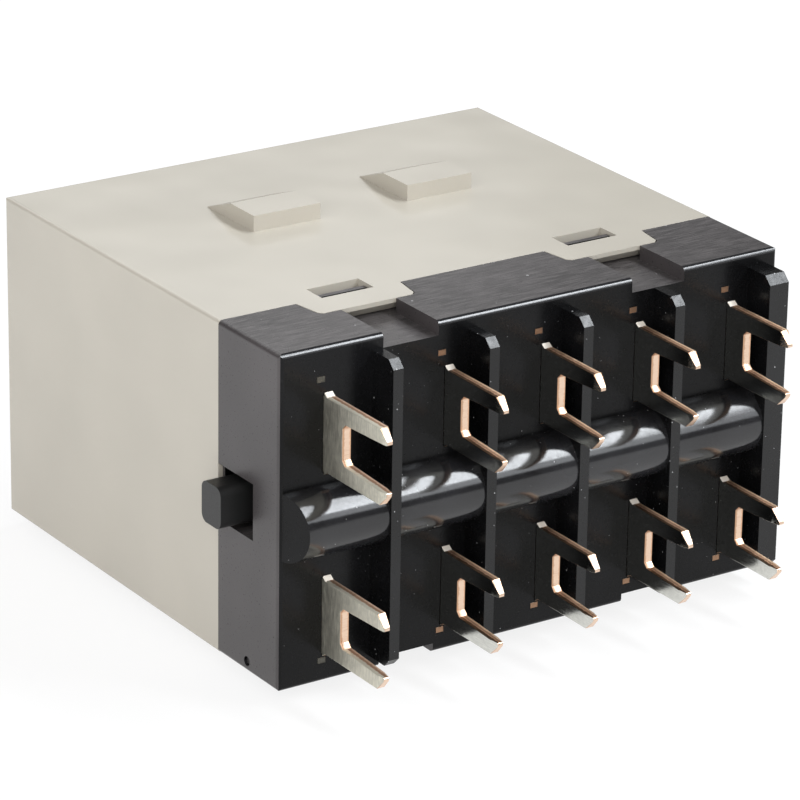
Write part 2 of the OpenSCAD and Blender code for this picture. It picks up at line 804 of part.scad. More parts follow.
module bobbin() {
    length = bobbin_end - bobbin_x;
    color(bobbin_colour) in_frame() translate([bobbin_x, coil_y, coil_z]) rotate([0, 90, 0])
        difference() {
            union() {
                cylinder(r = tube_r, h = length);
                cylinder(r = flange_r, h = bobbin_wall);
                translate([0, 0, length - bobbin_wall]) cylinder(r = flange_r, h = bobbin_wall);
            }
            translate([0, 0, -over]) cylinder(r = core_r + magnet_gap, h = length + 2 * over);
        }
}

// A tube between the bobbin's flanges
module coil_layer(inner, outer) {
    start = bobbin_x + bobbin_wall + pivot_gap;
    length = bobbin_end - bobbin_wall - pivot_gap - start;
    translate([start, coil_y, coil_z]) rotate([0, 90, 0]) difference() {
        cylinder(r = outer, h = length);
        translate([0, 0, -over]) cylinder(r = inner, h = length + 2 * over);
    }
}

module winding() {
    color(wire_colour) in_frame() coil_layer(tube_r + pivot_gap, winding_r);
}

module coil_tape() {
    color(tape_colour) in_frame() coil_layer(winding_r + pivot_gap, winding_r + pivot_gap + tape_t);
}

// A coil lead, from its terminal's post round a bend to the bobbin's flange
module coil_lead(side) {
    x = coil_fork_x + fork_t / 2;
    color(wire_colour) in_frame() translate([x, 0, coil_z + side * lead_offset]) {
        translate([0, post_end, 0]) rod_y(lead_r, lead_y - lead_bend - post_end);
        translate([lead_bend, lead_y - lead_bend, 0]) rotate([0, 0, 90])
            rotate_extrude(angle = 90) translate([lead_bend, 0]) circle(lead_r);
        translate([lead_bend, lead_y, 0]) rod_x(lead_r, bobbin_x - x - lead_bend);
    }
}

cover();
base();
coil_terminal(1);  // coil_terminal_upper
coil_terminal(-1);  // coil_terminal_lower
contact_terminal(0, 1);  // contact_terminal_upper_1
contact_terminal(1, 1);  // contact_terminal_upper_2
contact_terminal(2, 1);  // contact_terminal_upper_3
contact_terminal(3, 1);  // contact_terminal_upper_4
contact_terminal(0, -1);  // contact_terminal_lower_1
contact_terminal(1, -1);  // contact_terminal_lower_2
contact_terminal(2, -1);  // contact_terminal_lower_3
contact_terminal(3, -1);  // contact_terminal_lower_4
fixed_contacts();
contact_carrier();
contact_bridge(0);  // contact_bridge_1
contact_bridge(1);  // contact_bridge_2
contact_bridge(2);  // contact_bridge_3
contact_bridge(3);  // contact_bridge_4
bridge_contacts(0);  // bridge_contacts_1
bridge_contacts(1);  // bridge_contacts_2
bridge_contacts(2);  // bridge_contacts_3
bridge_contacts(3);  // bridge_contacts_4
contact_spring(0);  // contact_spring_1
contact_spring(1);  // contact_spring_2
contact_spring(2);  // contact_spring_3
contact_spring(3);  // contact_spring_4
return_spring(-1);  // return_spring_left
return_spring(1);  // return_spring_right
armature();
yoke();
core();
bobbin();
winding();
coil_tape();
coil_lead(1);  // coil_lead_upper
coil_lead(-1);  // coil_lead_lower
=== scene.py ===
"""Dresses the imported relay: mouldings with broken edges, stamped terminals, wound springs, finishes
for the works inside, and a small studio."""

import json
from math import cos, pi, radians

import bmesh
import bpy
from bpy.props import FloatProperty, FloatVectorProperty, PointerProperty
from mathutils import Matrix, Vector

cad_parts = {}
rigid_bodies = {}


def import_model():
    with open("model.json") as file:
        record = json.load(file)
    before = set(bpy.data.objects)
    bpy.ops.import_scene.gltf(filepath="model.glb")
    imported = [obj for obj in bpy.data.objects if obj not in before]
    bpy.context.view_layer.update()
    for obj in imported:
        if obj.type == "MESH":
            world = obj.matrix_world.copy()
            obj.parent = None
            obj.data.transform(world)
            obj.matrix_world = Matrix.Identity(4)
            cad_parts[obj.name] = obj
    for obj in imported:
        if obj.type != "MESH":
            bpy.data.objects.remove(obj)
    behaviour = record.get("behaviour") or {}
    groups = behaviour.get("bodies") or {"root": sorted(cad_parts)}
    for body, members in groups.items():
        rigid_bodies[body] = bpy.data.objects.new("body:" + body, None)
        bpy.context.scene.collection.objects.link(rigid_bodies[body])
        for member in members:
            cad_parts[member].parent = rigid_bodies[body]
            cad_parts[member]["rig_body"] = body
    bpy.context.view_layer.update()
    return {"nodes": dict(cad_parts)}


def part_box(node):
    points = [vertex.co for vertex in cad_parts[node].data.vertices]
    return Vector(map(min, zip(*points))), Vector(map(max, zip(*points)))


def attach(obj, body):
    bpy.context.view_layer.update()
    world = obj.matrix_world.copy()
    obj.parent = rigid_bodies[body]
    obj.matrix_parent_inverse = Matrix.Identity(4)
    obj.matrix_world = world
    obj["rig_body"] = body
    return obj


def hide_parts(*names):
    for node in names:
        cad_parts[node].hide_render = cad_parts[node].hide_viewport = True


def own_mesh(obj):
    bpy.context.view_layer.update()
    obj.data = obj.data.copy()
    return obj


bl_info = {
    "name": "Board Relay",
    "version": (1, 0, 0),
    "blender": (4, 5, 0),
    "location": "3D View > Sidebar > Relay",
    "description": "Dresses a four-pole relay for a circuit board and sets up its studio",
    "category": "Object",
}

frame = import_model()

MM = 0.001
POLES = 4
ROWS = ("upper", "lower")

# Vertices of a CAD mesh closer than this are one vertex
MERGE_DISTANCE = 0.0005 * MM
# Faces that meet within this angle are one flat face
FLAT_ANGLE = radians(0.5)
# Edges that turn more than this are broken edges; those that turn less are facets of a round
SHARP_ANGLE = radians(20)
# An edge is broken where it is longer than this many times the width of the break
BREAK_ROOM = 2.5

# How squarely a face looks along an axis, as a part of its normal
SLIGHTLY = 0.3
HALF = 0.5
MOSTLY = 0.7
SQUARELY = 0.9

# The base's finishes, in the order of its materials; one of them is a painted dark band of shade on the
# rounded edges
FACE, RIDGE, SKIRT, EDGE_SHADE_BAND, END, RIB = range(6)
# The ribs stand this far off the terminal face, and faces this close to their fronts belong to them
RIB_DEPTH = 3.2 * MM
RIB_FRONT_DEPTH = 0.1 * MM
# The half-round ridge lies within this height of the carrier's middle
RIDGE_REACH = 3.1 * MM
# A face of the front's rounded upper edges looks forward between these two parts of its normal, and
# upward by the third at least
ROUND_FORWARD_LEAST = 0.1
ROUND_FORWARD_MOST = 0.995
ROUND_UPWARD_LEAST = 0.05
# From here upward those edges get a dull black finish: a painted dark band of shade along the top of the
# round
ROUND_UPWARD_SHADE = 0.77

# A terminal's finishes, in the order of its materials
FLAT, FRONT, SIDE, TANG, SHOULDER = range(5)
# Faces that look this squarely to one side are the sheet's flats
FLAT_SIDE = cos(radians(30))
# A terminal's prongs are clear of the face at this distance
PRONG_CLEARANCE = 0.5 * MM
# The tang's end and the shoulders lie within these distances of the face
TANG_DEPTH = 0.4 * MM
SHOULDER_DEPTH = 0.6 * MM
# Points this close to a flat lie on it
ON_FLAT = 0.01 * MM
# Bare copper where the punch has just cut it, on the front edges and on the side edges
FRESH_FRONT = (0.84, 0.63, 0.48, 1.0)
FRESH_SIDE = (1.0, 0.76, 0.54, 1.0)

# A spring's round wire: its sides, its steps in each turn, and the angle of its cut ends
WIRE_SIDES = 12
WIRE_STEPS = 28
WIRE_SHARP_ANGLE = radians(60)
# The distance between a wave texture's bands at a scale of one
WAVE_BAND = 2 * pi / 20

# Most of a noise's values lie between these two
NOISE_LOW = 0.3
NOISE_HIGH = 0.7
# A Mix node's colour sockets: the factor, the two colours and the result
MIX_FACTOR, MIX_FIRST, MIX_SECOND, MIX_RESULT = 0, 6, 7, 2
# Dust as it shows on the face, the ridge and the outside, and plastic that is rubbed bare
FACE_DUST = (0.55, 0.55, 0.56, 1.0)
RIDGE_DUST = (0.60, 0.60, 0.61, 1.0)
SKIRT_DUST = (0.5, 0.5, 0.5, 1.0)
RUBBED = (0.6, 0.58, 0.55, 1.0)

# The floor: half its side in metres, the two tones of its paper, the strength of its white, and the
# share of that white in its look, which leaves the rest for the shadow
FLOOR_HALF = 1.5
PAPER_DARK = (0.84, 0.84, 0.84, 1.0)
PAPER_LIGHT = (0.86, 0.86, 0.86, 1.0)
PAPER_WHITE = 1.05
PAPER_SHARE = 0.80
# The lamps: each one's direction from the relay, the way its height runs, its distance and size in
# metres, and the settings that hold its power and colour
LAMPS = (
    dict(name="key_strip", direction=(0.537, -0.261, 0.802), along=(0, 0.951, 0.309), distance=1.2,
         width=0.19, height=1.33, power="key_power", colour="key_colour"),
    dict(name="front_strip", direction=(0.516, -0.727, 0.454), along=(0, 0.530, 0.848), distance=1.2,
         width=0.25, height=0.42, power="front_power", colour="key_colour"),
    dict(name="fill_panel", direction=(-0.65, -0.60, 0.47), along=(0, 0, 1), distance=0.60,
         width=1.20, height=0.90, power="fill_power", colour="panel_colour"),
    dict(name="back_panel", direction=(0.172, 0.809, 0.562), along=(0, 0, 1), distance=0.80,
         width=0.66, height=0.36, power="back_power", colour="panel_colour"),
)
# The sensor's width in millimetres that the lens is given for
SENSOR_WIDTH = 36.0


# Properties


def size(label, description, default):
    """A length in metres that a user can change."""
    return FloatProperty(name=label, description=description, default=default, min=0, unit="LENGTH",
                         precision=5)


def share(label, description, default):
    """A number from nought to one that a user can change."""
    return FloatProperty(name=label, description=description, default=default, min=0, max=1,
                         subtype="FACTOR")


def angle(label, description, degrees):
    """An angle that a user can change."""
    return FloatProperty(name=label, description=description, default=radians(degrees), subtype="ANGLE")


def colour(label, description, default):
    """A colour that a user can change."""
    return FloatVectorProperty(name=label, description=description, default=default, min=0, max=1,
                               size=3, subtype="COLOR")


def power(label, description, default):
    """The power of a lamp that a user can change."""
    return FloatProperty(name=label, description=description, default=default, min=0, unit="POWER")


class RELAY_PG_housing(bpy.types.PropertyGroup):
    """The moulded cover, base and carrier."""
    cover_colour: colour("Cover", "Colour of the cover's plastic", (0.50, 0.465, 0.40))
    cover_edge: size("Cover edge", "Width of the cover's broken edges", 0.18 * MM)
    face_colour: colour("Terminal face", "Colour of the base's glossy face", (0.005, 0.005, 0.0055))
    skirt_colour: colour("Skirt", "Colour of the base's rubbed outside", (0.045, 0.041, 0.041))
    end_colour: colour("Ends", "Colour of the base's two smooth ends", (0.052, 0.046, 0.047))
    base_edge: size("Base edge", "Width of the base's broken edges", 0.10 * MM)
    carrier_colour: colour("Carrier", "Colour of the carrier's plastic", (0.010, 0.010, 0.010))
    carrier_edge: size("Carrier edge", "Width of the carrier's broken edges", 0.12 * MM)
    dust: share("Dust", "How much dust lies on the terminal face", 0.8)


class RELAY_PG_terminals(bpy.types.PropertyGroup):
    """The stamped terminals."""
    tin_colour: colour("Tin", "Colour of the tin plating", (0.76, 0.76, 0.71))
    coil_colour: colour("Coil tin", "Colour of the coil terminals' dull tin", (0.80, 0.77, 0.66))
    copper_colour: colour("Copper", "Colour of the copper sheet", (0.82, 0.50, 0.32))
    # The shoulders' pale matt colour is a painted highlight that stands for their bright glints
    shoulder_highlight_colour: colour("Shoulders", "Colour of the matt tin on the shoulders", (0.76, 0.70, 0.62))
    stamped_edge: size("Stamped edge", "Width of the round on a stamped edge", 0.06 * MM)
    drawn_edge: size("Drawn edge", "Width of the round that the punch leaves on the coil terminals",
                     0.16 * MM)
    tip_edge: size("Tip edge", "Width of the rounds at the prongs' tips", 0.14 * MM)
    tip_length: size("Tip length", "Length of a prong's tip that has those rounds", 0.35 * MM)


class RELAY_PG_works(bpy.types.PropertyGroup):
    """The works inside the housing."""
    silver_colour: colour("Silver", "Colour of the silver contacts", (0.85, 0.85, 0.83))
    iron_colour: colour("Iron", "Colour of the zinc-plated iron", (0.52, 0.53, 0.54))
    bobbin_colour: colour("Bobbin", "Colour of the bobbin's plastic", (0.05, 0.055, 0.06))
    tape_colour: colour("Tape", "Colour of the tape round the coil", (0.65, 0.50, 0.15))
    wire_colour: colour("Wire", "Colour of the enamelled wire", (0.42, 0.13, 0.05))
    wire_pitch: size("Wire pitch", "Distance from turn to turn of the winding", 0.35 * MM)
    spring_colour: colour("Springs", "Colour of the spring wire", (0.55, 0.56, 0.57))
    contact_wire: size("Contact wire", "Thickness of a contact spring's wire", 0.30 * MM)
    contact_turns: FloatProperty(name="Contact turns", description="Turns of a contact spring",
                                 default=3.5)
    return_wire: size("Return wire", "Thickness of a return spring's wire", 0.35 * MM)
    return_turns: FloatProperty(name="Return turns", description="Turns of a return spring",
                                default=6.0)


class RELAY_PG_stage(bpy.types.PropertyGroup):
    """The studio."""
    azimuth: angle("Azimuth", "Turn of the camera about the relay", -33.738)
    elevation: angle("Elevation", "Height of the camera above the floor, as an angle", 21.564)
    roll: angle("Roll", "Turn of the camera about its own axis", 0.917)
    distance: size("Distance", "Distance of the camera from its target", 411.8 * MM)
    target: FloatVectorProperty(name="Target", description="Point that the camera looks at", size=3,
                                default=(0.430 * MM, 1.181 * MM, 16.278 * MM), subtype="TRANSLATION")
    lens: FloatProperty(name="Lens", description="Focal length on a sensor 36 mm wide", default=207.3,
                        unit="CAMERA")
    key_power: power("Key", "Power of the strip lamp above, on the right", 14.4)
    key_colour: colour("Key colour", "Colour of the two strip lamps, a little cool", (0.92, 0.96, 1.0))
    front_power: power("Front", "Power of the weak strip below the key", 1.3)
    fill_power: power("Fill", "Power of the white panel in front, on the left", 6.4)
    back_power: power("Back", "Power of the white panel behind", 0.85)
    panel_colour: colour("Panel colour", "Colour of the two white panels", (1.0, 1.0, 1.0))
    room: share("Room", "Strength of the room's even light", 0.15)


# Meshes


def merged_copy(node):
    """A bmesh of a CAD node, its loose triangles merged into whole faces."""
    bm = bmesh.new()
    bm.from_mesh(frame["nodes"][node].data)
    bmesh.ops.remove_doubles(bm, verts=bm.verts, dist=MERGE_DISTANCE)
    bmesh.ops.dissolve_limit(bm, angle_limit=FLAT_ANGLE, verts=bm.verts, edges=bm.edges)
    return bm


def break_edges(bm, width, segments=2, chosen=None):
    """Bevels the sharp edges of a bmesh that are long enough to take it."""
    edges = [
        e for e in bm.edges
        if e.is_manifold and e.calc_face_angle() > SHARP_ANGLE and e.calc_length() > BREAK_ROOM * width
        and (chosen is None or chosen(e))
    ]
    bmesh.ops.bevel(bm, geom=edges, offset=width, offset_type="OFFSET", affect="EDGES",
                    segments=segments, profile=0.5, material=-1, clamp_overlap=True)


def in_front_of(limit):
    """A choice of edges that lie wholly in front of a plane across y."""
    return lambda edge: all(vert.co.y < limit for vert in edge.verts)


def on_left_flat(left, root):
    """A choice of edges that lie on a terminal's left flat, outside the base."""
    return lambda edge: all(vert.co.x < left + ON_FLAT and vert.co.y < root for vert in edge.verts)


def place_piece(name, bm, materials, nodes, sharp=SHARP_ANGLE):
    """Turns a bmesh into a piece that stands for CAD nodes and rides on their body."""
    mesh = bpy.data.meshes.new(name)
    for face in bm.faces:
        face.smooth = True
    for edge in bm.edges:
        edge.smooth = not edge.is_manifold or edge.calc_face_angle() < sharp
    bm.to_mesh(mesh)
    bm.free()
    for material in materials:
        mesh.materials.append(material)
    piece = bpy.data.objects.new(name, mesh)
    bpy.context.scene.collection.objects.link(piece)
    even = piece.modifiers.new("even_shading", "WEIGHTED_NORMAL")
    even.keep_sharp = True
    even.weight = 100
    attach(piece, frame["nodes"][nodes[0]]["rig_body"])
    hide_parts(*nodes)
    return piece


def paint_node(node, material):
    """Gives a CAD node that keeps its own mesh a procedural material."""
    data = frame["nodes"][node].data
    data.materials.clear()
    data.materials.append(material)


# Shader nodes


def add_node(tree, kind, **settings):
    """Adds a node; each setting names one of its inputs, or else one of its attributes."""
    node = tree.nodes.new(kind)
    for name, value in settings.items():
        label = name.replace("_", " ").title()
        if label in node.inputs:
            node.inputs[label].default_value = value
        else:
            setattr(node, name, value)
    return node


def plug(tree, source, socket):
    """Links a socket to an input, or sets the input where the source is a plain value."""
    if isinstance(source, bpy.types.NodeSocket):
        tree.links.new(source, socket)
    else:
        socket.default_value = source


def noise(tree, vector, feature, detail=2.0, roughness=0.5):
    """Noise whose features are about that long, in metres."""
    node = add_node(tree, "ShaderNodeTexNoise", scale=1 / feature, detail=detail, roughness=roughness)
    tree.links.new(vector, node.inputs["Vector"])
    return node.outputs[0]


def stretch(tree, vector, scale):
    """Coordinates scaled by axis, so that a pattern runs along the axis with the smallest scale."""
    node = add_node(tree, "ShaderNodeMapping", scale=scale)
    tree.links.new(vector, node.inputs["Vector"])
    return node.outputs["Vector"]


def remap(tree, value, low, high, to_low=0.0, to_high=1.0):
    """Spreads a value from one range over another, and keeps it inside."""
    node = add_node(tree, "ShaderNodeMapRange", from_min=low, from_max=high, to_min=to_low,
                    to_max=to_high)
    tree.links.new(value, node.inputs["Value"])
    return node.outputs["Result"]


def vary(tree, pattern, low=0.0, high=1.0):
    """Spreads the usual range of a noise between two values."""
    return remap(tree, pattern, NOISE_LOW, NOISE_HIGH, low, high)


def combine(tree, operation, first, second):
    """One operation of arithmetic on two values."""
    node = add_node(tree, "ShaderNodeMath", operation=operation)
    plug(tree, first, node.inputs[0])
    plug(tree, second, node.inputs[1])
    return node.outputs["Value"]


def blend(tree, factor, first, second):
    """One colour turning into another."""
    node = add_node(tree, "ShaderNodeMix", data_type="RGBA")
    plug(tree, factor, node.inputs[MIX_FACTOR])
    plug(tree, first, node.inputs[MIX_FIRST])
    plug(tree, second, node.inputs[MIX_SECOND])
    return node.outputs[MIX_RESULT]


def bump(tree, height, depth, strength=1.0):
    """A normal that follows a height, which is that deep in metres."""
    node = add_node(tree, "ShaderNodeBump", distance=depth, strength=strength)
    tree.links.new(height, node.inputs["Height"])
    return node.outputs["Normal"]


def shaded(tint, factor):
    """A colour made lighter or darker, as a node's colour value."""
    return tuple(min(channel * factor, 1.0) for channel in tint) + (1.0,)


def new_group(name, inputs, outputs):
    """An empty node group with named inputs and float outputs, and the sockets inside it."""
    group = bpy.data.node_groups.new(name, "ShaderNodeTree")
    for label, kind in inputs:
        group.interface.new_socket(label, in_out="INPUT", socket_type=kind)
    for label in outputs:
        group.interface.new_socket(label, in_out="OUTPUT", socket_type="NodeSocketFloat")
    source = group.nodes.new("NodeGroupInput")
    result = group.nodes.new("NodeGroupOutput")
    return group, source.outputs, result.inputs


def use_group(tree, name, vector, **values):
    """Places a shared effect in a material, with its own values."""
    node = add_node(tree, "ShaderNodeGroup", node_tree=bpy.data.node_groups[name])
    tree.links.new(vector, node.inputs["Vector"])
    for label, value in values.items():
        node.inputs[label.replace("_", " ").title()].default_value = value
    return node.outputs


def build_dust_group():
    """Fine specks of dust: a mask, with a share of the cells bare."""
    group, source, result = new_group(
        "relay_dust",
        [("Vector", "NodeSocketVector"), ("Spacing", "NodeSocketFloat"), ("Amount", "NodeSocketFloat")],
        ["Mask"])
    scale = combine(group, "DIVIDE", 1.0, source["Spacing"])
    cells = add_node(group, "ShaderNodeTexVoronoi", randomness=1.0)
    group.links.new(source["Vector"], cells.inputs["Vector"])
    group.links.new(scale, cells.inputs["Scale"])
    tone = add_node(group, "ShaderNodeSeparateColor")
    group.links.new(cells.outputs["Color"], tone.inputs["Color"])
    kept = combine(group, "LESS_THAN", tone.outputs["Red"], source["Amount"])
    large = combine(group, "POWER", tone.outputs["Green"], 2.0)
    radius = remap(group, large, 0.0, 1.0, 0.03, 0.10)
    speck = combine(group, "LESS_THAN", cells.outputs["Distance"], radius)
    bright = combine(group, "MULTIPLY", speck, tone.outputs["Blue"])
    group.links.new(combine(group, "MULTIPLY", bright, kept), result["Mask"])


def build_hairline_group():
    """Hairline marks of handling, mostly along one axis: a mask."""
    group, source, result = new_group(
        "relay_hairlines", [("Vector", "NodeSocketVector"), ("Amount", "NodeSocketFloat")], ["Mask"])
    lines = noise(group, stretch(group, source["Vector"], (1.0, 0.04, 1.0)), 0.10 * MM, detail=1.0)
    patches = noise(group, source["Vector"], 5 * MM)
    edge = combine(group, "SUBTRACT", 0.80, combine(group, "MULTIPLY", source["Amount"], 0.2))
    over = combine(group, "SUBTRACT", lines, edge)
    marks = remap(group, over, 0.0, 0.06)
    here = remap(group, patches, 0.45, 0.65)
    group.links.new(combine(group, "MULTIPLY", marks, here), result["Mask"])


def build_grain_group():
    """The fine texture of a moulded face, and its slow unevenness, both as heights or tones."""
    group, source, result = new_group(
        "relay_grain", [("Vector", "NodeSocketVector"), ("Feature", "NodeSocketFloat")],
        ["Fine", "Slow"])
    scale = combine(group, "DIVIDE", 1.0, source["Feature"])
    fine = add_node(group, "ShaderNodeTexNoise", detail=3.0, roughness=0.6)
    group.links.new(source["Vector"], fine.inputs["Vector"])
    group.links.new(scale, fine.inputs["Scale"])
    group.links.new(fine.outputs[0], result["Fine"])
    group.links.new(noise(group, source["Vector"], 9 * MM, detail=1.0), result["Slow"])


def build_drawn_group():
    """The drawn lines of rolled and sheared metal, along each axis: a tone."""
    shapes = (("Along", (1.0, 0.06, 1.0)), ("Across", (0.06, 1.0, 1.0)), ("Upright", (1.0, 1.0, 0.06)))
    group, source, result = new_group(
        "relay_drawn", [("Vector", "NodeSocketVector"), ("Feature", "NodeSocketFloat")],
        [label for label, shape in shapes])
    scale = combine(group, "DIVIDE", 1.0, source["Feature"])
    for label, shape in shapes:
        lines = add_node(group, "ShaderNodeTexNoise", detail=2.0, roughness=0.6)
        group.links.new(stretch(group, source["Vector"], shape), lines.inputs["Vector"])
        group.links.new(scale, lines.inputs["Scale"])
        group.links.new(lines.outputs[0], result[label])


# Materials


def new_material(name):
    """A material with its tree, its shader and the object's coordinates."""
    material = bpy.data.materials.new(name)
    material.use_nodes = True
    tree = material.node_tree
    shader = tree.nodes["Principled BSDF"]
    coords = tree.nodes.new("ShaderNodeTexCoord").outputs["Object"]
    return material, tree, shader, coords


def cover_plastic(tint):
    """Beige satin plastic, with a fine speckle and a few hairlines."""
    material, tree, shader, coords = new_material("cover_plastic")
    grain = use_group(tree, "relay_grain", coords, feature=0.12 * MM)
    lines = use_group(tree, "relay_hairlines", coords, amount=0.35)
    tone = blend(tree, vary(tree, grain["Slow"]), shaded(tint, 0.97), shaded(tint, 1.03))
    specks = remap(tree, grain["Fine"], 0.60, 0.80, 0.0, 0.4)
    speckled = blend(tree, specks, tone, shaded(tint, 0.90))
    marks = combine(tree, "MULTIPLY", lines["Mask"], 0.25)
    tree.links.new(blend(tree, marks, speckled, shaded(tint, 1.25)), shader.inputs["Base Color"])
    tree.links.new(vary(tree, grain["Fine"], 0.18, 0.25), shader.inputs["Roughness"])
    uneven = bump(tree, grain["Slow"], 0.10 * MM)
    fine = add_node(tree, "ShaderNodeBump", distance=0.002 * MM, strength=0.25)
    tree.links.new(grain["Fine"], fine.inputs["Height"])
    tree.links.new(uneven, fine.inputs["Normal"])
    tree.links.new(fine.outputs["Normal"], shader.inputs["Normal"])
    return material


def base_face_plastic(name, tint, dust, ior):
    """Black plastic of the terminal face or the ribs' fronts, with slow unevenness and dust."""
    material, tree, shader, coords = new_material(name)
    shader.inputs["IOR"].default_value = ior
    grain = use_group(tree, "relay_grain", coords, feature=0.5 * MM)
    specks = use_group(tree, "relay_dust", coords, spacing=0.7 * MM, amount=dust)
    film = blend(tree, remap(tree, grain["Slow"], 0.35, 0.7), shaded(tint, 0.5), shaded(tint, 1.2))
    tree.links.new(blend(tree, specks["Mask"], film, FACE_DUST), shader.inputs["Base Color"])
    clean = vary(tree, grain["Fine"], 0.20, 0.30)
    tree.links.new(combine(tree, "MAXIMUM", clean, specks["Mask"]), shader.inputs["Roughness"])
    tree.links.new(bump(tree, grain["Fine"], 0.004 * MM, strength=0.5), shader.inputs["Normal"])
    return material


def base_ridge_plastic(tint, dust):
    """Polished black plastic of the half-round ridge and the rounded front edges."""
    material, tree, shader, coords = new_material("base_ridge_plastic")
    shader.inputs["IOR"].default_value = 1.55
    grain = use_group(tree, "relay_grain", coords, feature=0.35 * MM)
    specks = use_group(tree, "relay_dust", coords, spacing=0.7 * MM, amount=dust)
    film = blend(tree, remap(tree, grain["Slow"], 0.35, 0.7), shaded(tint, 2.0), shaded(tint, 4.0))
    tree.links.new(blend(tree, specks["Mask"], film, RIDGE_DUST), shader.inputs["Base Color"])
    clean = vary(tree, grain["Fine"], 0.12, 0.19)
    tree.links.new(combine(tree, "MAXIMUM", clean, specks["Mask"]), shader.inputs["Roughness"])
    tree.links.new(bump(tree, grain["Fine"], 0.003 * MM, strength=0.5), shader.inputs["Normal"])
    return material


def base_edge_plastic(tint):
    """Dull black finish along the top of the front's rounded upper edges: a painted dark band of shade.
    """
    material, tree, shader, coords = new_material("base_edge_plastic")
    # Almost no reflection, so that the band stays dark as painted shade
    shader.inputs["Specular IOR Level"].default_value = 0.05
    grain = use_group(tree, "relay_grain", coords, feature=0.25 * MM)
    tree.links.new(blend(tree, grain["Fine"], shaded(tint, 1.0), shaded(tint, 4.0)),
                   shader.inputs["Base Color"])
    tree.links.new(vary(tree, grain["Fine"], 0.45, 0.60), shader.inputs["Roughness"])
    return material


def base_skirt_plastic(tint):
    """Satin black plastic of the base's outside, with rubbed streaks."""
    material, tree, shader, coords = new_material("base_skirt_plastic")
    grain = use_group(tree, "relay_grain", coords, feature=0.15 * MM)
    lines = use_group(tree, "relay_hairlines", coords, amount=0.7)
    streaks = use_group(tree, "relay_drawn", coords, feature=0.12 * MM)
    specks = use_group(tree, "relay_dust", coords, spacing=1.2 * MM, amount=0.2)
    film = blend(tree, vary(tree, grain["Slow"]), shaded(tint, 0.65), shaded(tint, 1.1))
    worn = blend(tree, remap(tree, streaks["Across"], 0.42, 0.72), film, shaded(tint, 2.6))
    rubbed = blend(tree, combine(tree, "MULTIPLY", lines["Mask"], 0.06), worn, RUBBED)
    tree.links.new(blend(tree, specks["Mask"], rubbed, SKIRT_DUST), shader.inputs["Base Color"])
    satin = vary(tree, grain["Fine"], 0.26, 0.36)
    tree.links.new(combine(tree, "ADD", satin, combine(tree, "MULTIPLY", lines["Mask"], 0.15)),
                   shader.inputs["Roughness"])
    tree.links.new(bump(tree, grain["Fine"], 0.003 * MM, strength=0.4), shader.inputs["Normal"])
    return material


def plain_moulding(name, tint, roughness):
    """A plain finish with a fine texture and an uneven sheen, for moulded plastic, tape and the pale
    painted highlight on the terminals' shoulders.
    """
    material, tree, shader, coords = new_material(name)
    grain = use_group(tree, "relay_grain", coords, feature=0.18 * MM)
    tone = blend(tree, vary(tree, grain["Slow"]), shaded(tint, 0.85), shaded(tint, 1.3))
    tree.links.new(tone, shader.inputs["Base Color"])
    sheen = vary(tree, grain["Fine"], roughness - 0.06, roughness + 0.06)
    tree.links.new(sheen, shader.inputs["Roughness"])
    tree.links.new(bump(tree, grain["Fine"], 0.004 * MM, strength=0.5), shader.inputs["Normal"])
    return material


def rolled_metal(name, tint, dull, low, high, lines="Along"):
    """Rolled sheet: drawn lines and duller patches, with its roughness between two values."""
    material, tree, shader, coords = new_material(name)
    shader.inputs["Metallic"].default_value = 1.0
    drawn = use_group(tree, "relay_drawn", coords, feature=0.07 * MM)
    grain = use_group(tree, "relay_grain", coords, feature=0.5 * MM)
    patches = remap(tree, grain["Fine"], 0.45, 0.75)
    lined = blend(tree, remap(tree, drawn[lines], 0.35, 0.65), shaded(tint, dull), shaded(tint, 1.0))
    tree.links.new(blend(tree, patches, lined, shaded(tint, dull)), shader.inputs["Base Color"])
    tree.links.new(vary(tree, drawn[lines], low, high), shader.inputs["Roughness"])
    tree.links.new(bump(tree, drawn[lines], 0.004 * MM, strength=0.5), shader.inputs["Normal"])
    return material


def sheared_copper(name, tint, tones, low, high):
    """The sheared edge of the sheet, in bands across its thickness from left to right."""
    material, tree, shader, coords = new_material(name)
    shader.inputs["Metallic"].default_value = 1.0
    drawn = use_group(tree, "relay_drawn", coords, feature=0.09 * MM)
    grain = use_group(tree, "relay_grain", coords, feature=0.3 * MM)
    across = add_node(tree, "ShaderNodeAttribute", attribute_name="across").outputs["Fac"]
    wander = combine(tree, "ADD", across, vary(tree, grain["Fine"], -0.08, 0.08))
    bands = tree.nodes.new("ShaderNodeValToRGB")
    while len(bands.color_ramp.elements) < len(tones):
        bands.color_ramp.elements.new(1.0)
    for stop, (place, tone) in zip(bands.color_ramp.elements, tones):
        stop.position = place
        stop.color = tone
    tree.links.new(wander, bands.inputs["Fac"])
    torn = remap(tree, drawn["Across"], 0.55, 0.75, 0.0, 0.5)
    tree.links.new(blend(tree, torn, bands.outputs["Color"], shaded(tint, 0.75)),
                   shader.inputs["Base Color"])
    tree.links.new(vary(tree, drawn["Across"], low, high), shader.inputs["Roughness"])
    tree.links.new(bump(tree, drawn["Across"], 0.015 * MM, strength=0.6), shader.inputs["Normal"])
    return material


